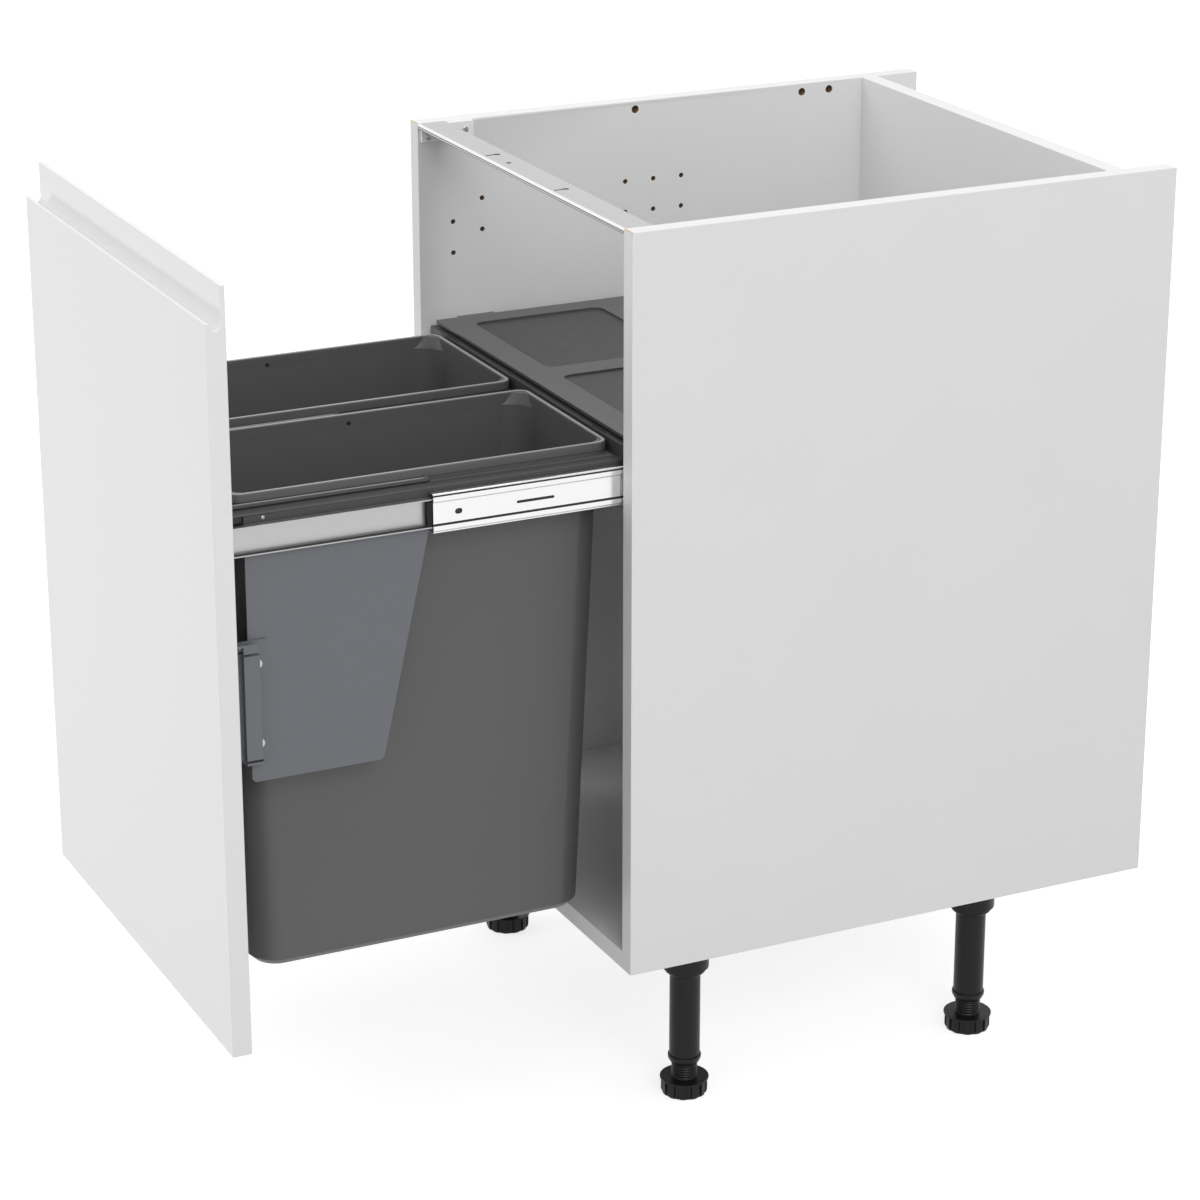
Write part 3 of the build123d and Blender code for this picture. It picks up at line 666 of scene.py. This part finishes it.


# ---------------------------------------------------------------- slides
# Full-extension ball-bearing slides of bright zinc-plated steel: a cabinet, an intermediate
# and a drawer member. The drawer member's lower tracks and the intermediate member's creases are
# painted dark as shade. Dark strip cages hold the steel balls between them, and a black stop
# closes the intermediate member's front end, its black standing in as painted shade for the gap there.
bright_zinc = new_finish("bright_zinc", (0.74, 0.74, 0.75), 0.18, 1.0)
zinc_grain = fine_bump(bright_zinc, 1500.0, 0.000003, stretch=(1.0, 0.03, 1.0))
vary(bright_zinc, "Roughness", 0.12, 0.22, 50.0, zinc_grain)
brushed_zinc_and_crease_shade = new_finish("brushed_zinc_and_crease_shade", (0.44, 0.44, 0.44), 0.36, 1.0)
brush_grain = fine_bump(brushed_zinc_and_crease_shade, 1800.0, 0.000005, stretch=(1.0, 0.02, 1.0))
vary(brushed_zinc_and_crease_shade, "Roughness", 0.30, 0.44, 80.0, brush_grain)
strip_steel = new_finish("blued_strip_steel", (0.035, 0.035, 0.037), 0.38, 0.6)
fine_bump(strip_steel, 900.0, 0.000004)
vary(strip_steel, "Roughness", 0.30, 0.45, 150.0)
ball_steel = new_finish("ball_steel", (0.70, 0.70, 0.71), 0.10, 1.0)
vary(ball_steel, "Roughness", 0.07, 0.14, 300.0)
painted_shade_black = new_finish("crease_shadow", (0.006, 0.006, 0.006), 0.6)
fine_bump(painted_shade_black, 900.0, 0.00001)

lip_x = 0.2262
web_x = 0.2288
bead_x = 0.2296
bead_roll = 0.00075
long_edge = 0.1
track_height = 0.005
facing = 0.9
stop_x = 0.2242
stop_size = (0.0058, 0.0080, 0.0232)
stop_set_in = 0.0005
stop_rim = 0.0012
stop_hollow = 0.0010
balls_in_row = 6
# Each crease has its lower and upper edge, its depth and the number of its finish: painted shade,
# black in the two wide creases and darker zinc in the two thin ones.
creases = (
    (0.6540, 0.6557, 0.0006, 1),
    (0.6271, 0.6292, 0.0006, 1),
    (0.6489, 0.6495, 0.0003, 2),
    (0.6218, 0.6224, 0.0003, 2),
)


def sink_faces(piece, index, wanted, move):
    """Gives one of a piece's finishes to the picked faces and presses them in by a vector."""
    colour_faces(piece, index, wanted)
    pick_faces(piece, wanted)
    bpy.ops.object.mode_set(mode="EDIT")
    bpy.ops.mesh.extrude_region_move(TRANSFORM_OT_translate={"value": move})
    bpy.ops.object.mode_set(mode="OBJECT")


def press_creases(member, turn):
    """Presses the narrow creases beside the ball tracks into an intermediate member's web and paints
    them dark as shade.
    """
    for low_z, high_z, depth, index in creases:
        score(member, (0, 0, low_z), (0, 0, 1))
        score(member, (0, 0, high_z), (0, 0, 1))
        sink_faces(member, index, lambda centre, normal: (
            low_z < centre.z < high_z and normal.x * turn > facing
            and abs(centre.x - turn * web_x) < 0.0003
        ), (-turn * depth, 0, 0))


def ball_rows(name, node, radius, x, rise):
    """Two rows of steel balls in a cage's windows, joined into one piece."""
    low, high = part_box(node)
    slide_z = (low.z + high.z) / 2
    pitch = (high.y - low.y) / balls_in_row
    bpy.ops.object.select_all(action="DESELECT")
    bpy.ops.mesh.primitive_uv_sphere_add(segments=14, ring_count=9, radius=radius)
    ball = bpy.context.object
    bpy.ops.object.shade_smooth()
    places = [
        (x, low.y + pitch * (index + 0.5), slide_z + sign * rise)
        for index in range(balls_in_row)
        for sign in (-1, 1)
    ]
    rows = set_heads(name, ball, places, (0, 0, 1), ball_steel)
    bpy.data.objects.remove(ball)
    return rows


for side, turn in sides:
    for stem, name, body, finish, mat_slot in (
        ("cabinet_member", f"cabinet_runner_{side}", "cabinet", bright_zinc, "zinc_steel"),
        ("mid_member", f"middle_runner_{side}", f"mid_member_{side}", bright_zinc, "zinc_steel"),
        ("drawer_member", f"drawer_runner_{side}", "drawer", brushed_zinc_and_crease_shade, "zinc_steel"),
        ("outer_cage", f"outer_ball_strip_{side}", f"outer_cage_{side}", strip_steel, "cage_steel"),
        ("inner_cage", f"inner_ball_strip_{side}", f"inner_cage_{side}", strip_steel, "cage_steel"),
    ):
        node = f"slide_{stem}_{side}"
        member = from_part(node, name)
        paint(member, finish)
        if name.startswith("middle"):
            paint(member, painted_shade_black, brushed_zinc_and_crease_shade)
            press_creases(member, turn)
            round_edges(member, bead_roll, 4, lambda start, end: (
                min(abs(start.x), abs(end.x)) > bead_x - 0.00005
                and abs(start.z - end.z) < slack and abs(start.y - end.y) > long_edge
            ))
        if name.startswith("drawer"):
            # The drawer member's lower track is painted black as shade.
            paint(member, painted_shade_black)
            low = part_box(node)[0]
            colour_faces(member, 1, lambda centre, normal: (
                normal.z > 0.7 and abs(centre.x) < lip_x
                and low.z + 0.0003 < centre.z < low.z + track_height
            ))
        ease_edges(member, 0.00015)
        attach(member, body)
        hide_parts(node)
    for name, node, radius, x, rise in (
        (f"outer_balls_{side}", f"slide_outer_cage_{side}", 0.00165, 0.22575, 0.02025),
        (f"inner_balls_{side}", f"slide_inner_cage_{side}", 0.0018, 0.22355, 0.0154),
    ):
        balls = ball_rows(name, node, radius, turn * x, rise)
        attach(balls, node.replace("slide_", ""))

    # A black stop block in the intermediate member's front end; its black stands in as painted shade
    # for the gap there.
    low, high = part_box(f"slide_mid_member_{side}")
    slide_z = (low.z + high.z) / 2
    stop = add_block(stop_size, (turn * stop_x, low.y - stop_set_in, slide_z))
    stop.name = f"runner_stop_{side}"
    pick_faces(stop, lambda centre, normal: normal.y < -facing)
    bpy.ops.object.mode_set(mode="EDIT")
    bpy.ops.mesh.inset(thickness=stop_rim)
    bpy.ops.transform.translate(value=(0, stop_hollow, 0))
    bpy.ops.object.mode_set(mode="OBJECT")
    ease_edges(stop, 0.0003)
    paint(stop, leg_black)
    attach(stop, f"mid_member_{side}")


# ---------------------------------------------------------------- drawer front
# A board with a gloss white lacquer, its top edge milled into a J-shaped finger pull. Its
# edges are eased wider than those of the carcass boards.
lacquer = new_finish("gloss_white_lacquer", (0.82, 0.82, 0.82), 0.14)
shader_nodes(lacquer)[2].inputs["Coat Weight"].default_value = 0.1
shader_nodes(lacquer)[2].inputs["Coat Roughness"].default_value = 0.08
fine_bump(lacquer, 260.0, 0.000012)
vary(lacquer, "Roughness", 0.10, 0.16, 30.0)

front = from_part("door_front", "lacquered_front")
ease_edges(front, 0.0010, 3)
paint(front, lacquer)
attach(front, "drawer")
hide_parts("door_front")


# ---------------------------------------------------------------- side plates and brackets
# Blue-grey powder-coated steel: a hanging plate on each side, and behind the drawer front a
# bracket with an adjuster housing, held to the plate by two domed rivets of bright zinc.
plate_coat = new_finish("blue_grey_coat", (0.142, 0.148, 0.164), 0.42, 0.0)
fine_bump(plate_coat, 1100.0, 0.000008)
vary(plate_coat, "Roughness", 0.41, 0.44, 60.0)

rivet = screw_head("domed_rivet", radius=0.0052, height=0.0026, recess=False)
ear_screw = screw_head("ear_screw", radius=0.0019, height=0.0014)
housing_slot = (0.4332, 0.4356)
housing_slot_depth = 0.0014
housing_x = 0.230
ear_gap = (0.5338, 0.5362)
ear_gap_set_in = 0.0120
leaf_face_x = 0.2213
rivet_rows = (0.5230, 0.4480)
rivet_set_in = 0.0100
ear_screw_in = 0.0118
ear_screw_z = 0.5400
tongue_size = (0.0019, 0.0145, 0.0086)
tongue_set_in = 0.001
tongue_back = 0.01925
tongue_drop = 0.0046

for side, turn in sides:
    plate = from_part(f"side_plate_{side}", f"coated_plate_{side}")
    ease_edges(plate, 0.0003)
    paint(plate, plate_coat)
    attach(plate, "drawer")
    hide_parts(f"side_plate_{side}")

    node = f"door_bracket_{side}"
    low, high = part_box(node)
    outer_x = turn * housing_x
    leaf_x = turn * leaf_face_x
    bracket = from_part(node, f"coated_bracket_{side}")
    paint(bracket, plate_coat, painted_shade_black)
    # The gap under the bracket's ear and the slot along its housing are painted black as shade.
    for level in housing_slot + ear_gap:
        score(bracket, (0, 0, level), (0, 0, 1))
    score(bracket, (0, high.y - ear_gap_set_in, 0), (0, 1, 0))
    colour_faces(bracket, 1, lambda centre, normal: (
        ear_gap[0] < centre.z < ear_gap[1] and centre.y < high.y - ear_gap_set_in
        and normal.x * turn > facing and abs(centre.x - leaf_x) < 0.0003
    ))
    sink_faces(bracket, 1, lambda centre, normal: (
        housing_slot[0] < centre.z < housing_slot[1]
        and normal.x * turn > facing and abs(centre.x - outer_x) < 0.0002
    ), (-turn * housing_slot_depth, 0, 0))
    tongue_place = (outer_x - turn * tongue_set_in, low.y + tongue_back, high.z - tongue_drop)
    tongue = add_block(tongue_size, tongue_place)
    paint(tongue, plate_coat)
    join_pieces([bracket, tongue])
    ease_edges(bracket, 0.0003)
    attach(bracket, "drawer")
    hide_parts(node)
    places = [(leaf_x, high.y - rivet_set_in, row) for row in rivet_rows]
    rivets = set_heads(f"bracket_rivets_{side}", rivet, places, (turn, 0, 0), screw_zinc)
    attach(rivets, "drawer")
    places = [(leaf_x, low.y + ear_screw_in, ear_screw_z)]
    screws = set_heads(f"ear_screw_{side}", ear_screw, places, (turn, 0, 0), screw_zinc)
    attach(screws, "drawer")

    support = from_part(f"cover_support_{side}", f"coated_support_{side}")
    ease_edges(support, 0.0003)
    paint(support, plate_coat)
    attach(support, "cabinet")
    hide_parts(f"cover_support_{side}")
bpy.data.objects.remove(rivet)


# ---------------------------------------------------------------- bin frame and cover
# Dark grey moulded plastic with a soft sheen. The frame's side rails are rounded along their
# top, its rear bar has two short slots with their bottoms painted black as shade, and a small
# screw holds each rail near its front end.
frame_dark = new_finish("dark_frame_moulding", (0.042, 0.043, 0.045), 0.46)
fine_bump(frame_dark, 1300.0, 0.000003)
vary(frame_dark, "Roughness", 0.45, 0.49, 90.0)

frame_low, frame_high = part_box("bin_frame")
rail_top_z = 0.6605
rail_roll = 0.0024
bar_slot_x = (0.152, 0.180)
bar_slot_y = (-0.0800, -0.0775)
bar_slot_depth = 0.0020
frame_screw_set_in = 0.0010
frame_screw_back = 0.0350
frame_screw_z = 0.6560

moulded_frame = from_part("bin_frame", "moulded_frame")
paint(moulded_frame, frame_dark, painted_shade_black)
for turn in (-1, 1):
    for x in bar_slot_x:
        score(moulded_frame, (turn * x, 0, 0), (1, 0, 0))
for y in bar_slot_y:
    score(moulded_frame, (0, y, 0), (0, 1, 0))
# The bottoms of the rear bar's slots are painted black as shade.
sink_faces(moulded_frame, 1, lambda centre, normal: (
    bar_slot_x[0] < abs(centre.x) < bar_slot_x[1] and bar_slot_y[0] < centre.y < bar_slot_y[1]
    and normal.z > facing and centre.z > frame_high.z - 0.0005
), (0, 0, -bar_slot_depth))
round_edges(moulded_frame, rail_roll, 4, lambda start, end: (
    min(abs(start.x), abs(end.x)) > frame_high.x - slack
    and max(abs(start.z - rail_top_z), abs(end.z - rail_top_z)) < slack
))
ease_edges(moulded_frame, 0.0005)
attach(moulded_frame, "drawer")
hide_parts("bin_frame")

for side, turn in sides:
    screw_x = turn * (frame_high.x - frame_screw_set_in)
    places = [(screw_x, frame_low.y + frame_screw_back, frame_screw_z)]
    screws = set_heads(f"frame_screw_{side}", ear_screw, places, (turn, 0, 0), screw_zinc)
    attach(screws, "drawer")
bpy.data.objects.remove(ear_screw)

# The cover's top faces are glossier than its sunk panels, and a lighter tone on them is a painted
# sheen.
cover_rim = new_finish("cover_rim_painted_sheen", (0.074, 0.075, 0.077), 0.30)
fine_bump(cover_rim, 1300.0, 0.000002)
vary(cover_rim, "Roughness", 0.29, 0.32, 90.0)
cover_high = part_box("bin_cover")[1]
cover_rim_depth = 0.0009
cover = from_part("bin_cover", "moulded_cover")
ease_edges(cover, 0.0007)
paint(cover, frame_dark, cover_rim)
colour_faces(cover, 1, lambda centre, normal: centre.z > cover_high.z - cover_rim_depth)
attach(cover, "cabinet")
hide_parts("bin_cover")


# ---------------------------------------------------------------- bins and bails
# Anthracite polypropylene bins with a collar and a resting flange, the flat tops of their rims
# painted lighter as a highlight. A flare in each inner corner carries the tub's wide round up to
# the rim. The pins of the bail handles sit in holes in the collars; the hole walls and the pins'
# ends are painted black as shade, and the bails' top faces are painted lighter as a highlight.
bin_anthracite = new_finish("anthracite_polypropylene", (0.098, 0.099, 0.101), 0.45)
fine_bump(bin_anthracite, 1000.0, 0.000008)
vary(bin_anthracite, "Roughness", 0.44, 0.47, 60.0)
painted_highlight = new_finish("painted_highlight_rim", (0.330, 0.332, 0.335), 0.34)
fine_bump(painted_highlight, 1000.0, 0.00002)
vary(painted_highlight, "Roughness", 0.28, 0.40, 120.0)

pivot_y = -0.26625
pivot_z = 0.6632
mouth_half = (0.08725, 0.17825)
ledge_z = 0.6605
throat_round = 0.02528
cove_foot_round = 0.02519
cove_head_round = 0.0288
cove_low = 0.6600
cove_high = 0.6713
cove_sunk = 0.0004
cove_spare = 1 / 8
throat_depth = 0.0060
wall_slack = 0.0002
rim_roll = 0.0010
rim_band = 0.0004
pin_hole = 0.0022
pin_hole_edge = 0.0030
pin_hole_facet = 2.5e-5
pin_end_facet = 4e-5
collar_inside = 0.08
eye_outside = 0.0885
bail_top = (0.6640, 0.6646)


def from_pin(point, pivot):
    """The distance of a point from the line of a bin's two pivot pins."""
    return math.hypot(point.y - pivot.y, point.z - pivot.z)


def corner_coves(x, y):
    """Flared fillings that carry the wide rounds of a tub's corners up to the tighter mouth."""
    coves = []
    middle_z = (cove_low + cove_high) / 2
    height = cove_high - cove_low
    block = throat_round + cove_sunk
    spread = (cove_head_round - cove_foot_round) * cove_spare
    for turn_x in (-1, 1):
        for turn_y in (-1, 1):
            axis_x = x + turn_x * (mouth_half[0] - throat_round)
            axis_y = y + turn_y * (mouth_half[1] - throat_round)
            middle = (axis_x + turn_x * block / 2, axis_y + turn_y * block / 2, middle_z)
            cove = add_block((block, block, height), middle)
            bpy.ops.object.select_all(action="DESELECT")
            bpy.ops.mesh.primitive_cone_add(
                vertices=112,
                radius1=cove_foot_round - spread,
                radius2=cove_head_round + spread,
                depth=height + 2 * height * cove_spare,
                location=(axis_x, axis_y, middle_z),
            )
            flare = bpy.context.object
            cut_away(cove, flare)
            bpy.data.objects.remove(flare)
            bpy.ops.object.shade_smooth_by_angle(angle=math.radians(sharp_angle))
            paint(cove, bin_anthracite)
            coves.append(cove)
    return coves


for side in ("left", "right"):
    node = f"waste_bin_{side}"
    low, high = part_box(node)
    bin_x = (low.x + high.x) / 2
    pivot = Vector((bin_x, pivot_y, pivot_z))
    tub = from_part(node, f"moulded_bin_{side}")
    round_edges(tub, rim_roll, 4, lambda start, end: min(start.z, end.z) > high.z - slack)
    ease_edges(tub, 0.0006, spared=lambda start, end: all(
        from_pin(point, pivot) < pin_hole_edge
        or abs(point.x - bin_x) < mouth_half[0] + wall_slack
        and abs(point.y - pivot.y) < mouth_half[1] + wall_slack
        and ledge_z - throat_depth < point.z < ledge_z + wall_slack
        for point in (start, end)
    ))
    paint(tub, bin_anthracite, painted_highlight, painted_shade_black)
    # The flat top of the rim is painted lighter as a highlight.
    colour_faces(tub, 1, lambda centre, normal: centre.z > high.z - rim_band and normal.z > 0.995)
    # The walls of the pin holes in the collar are painted black as shade.
    colour_faces(tub, 2, lambda centre, normal: (
        from_pin(centre, pivot) < pin_hole and abs(centre.x - bin_x) > collar_inside
    ), pin_hole_facet)
    join_pieces([tub, *corner_coves(bin_x, pivot.y)])
    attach(tub, f"bin_{side}")
    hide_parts(node)

    node = f"bail_handle_{side}"
    bail = from_part(node, f"moulded_bail_{side}")
    ease_edges(bail, 0.0004)
    paint(bail, bin_anthracite, painted_highlight, painted_shade_black)
    # The bail's top face is painted lighter as a highlight.
    colour_faces(bail, 1, lambda centre, normal: (
        bail_top[0] < centre.z < bail_top[1] and normal.z > 0.8
    ))
    # The ends of the bail's pins are painted black as shade.
    colour_faces(bail, 2, lambda centre, normal: (
        from_pin(centre, pivot) < pin_hole and abs(centre.x - bin_x) < eye_outside
    ), pin_end_facet)
    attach(bail, f"bail_{side}")
    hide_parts(node)
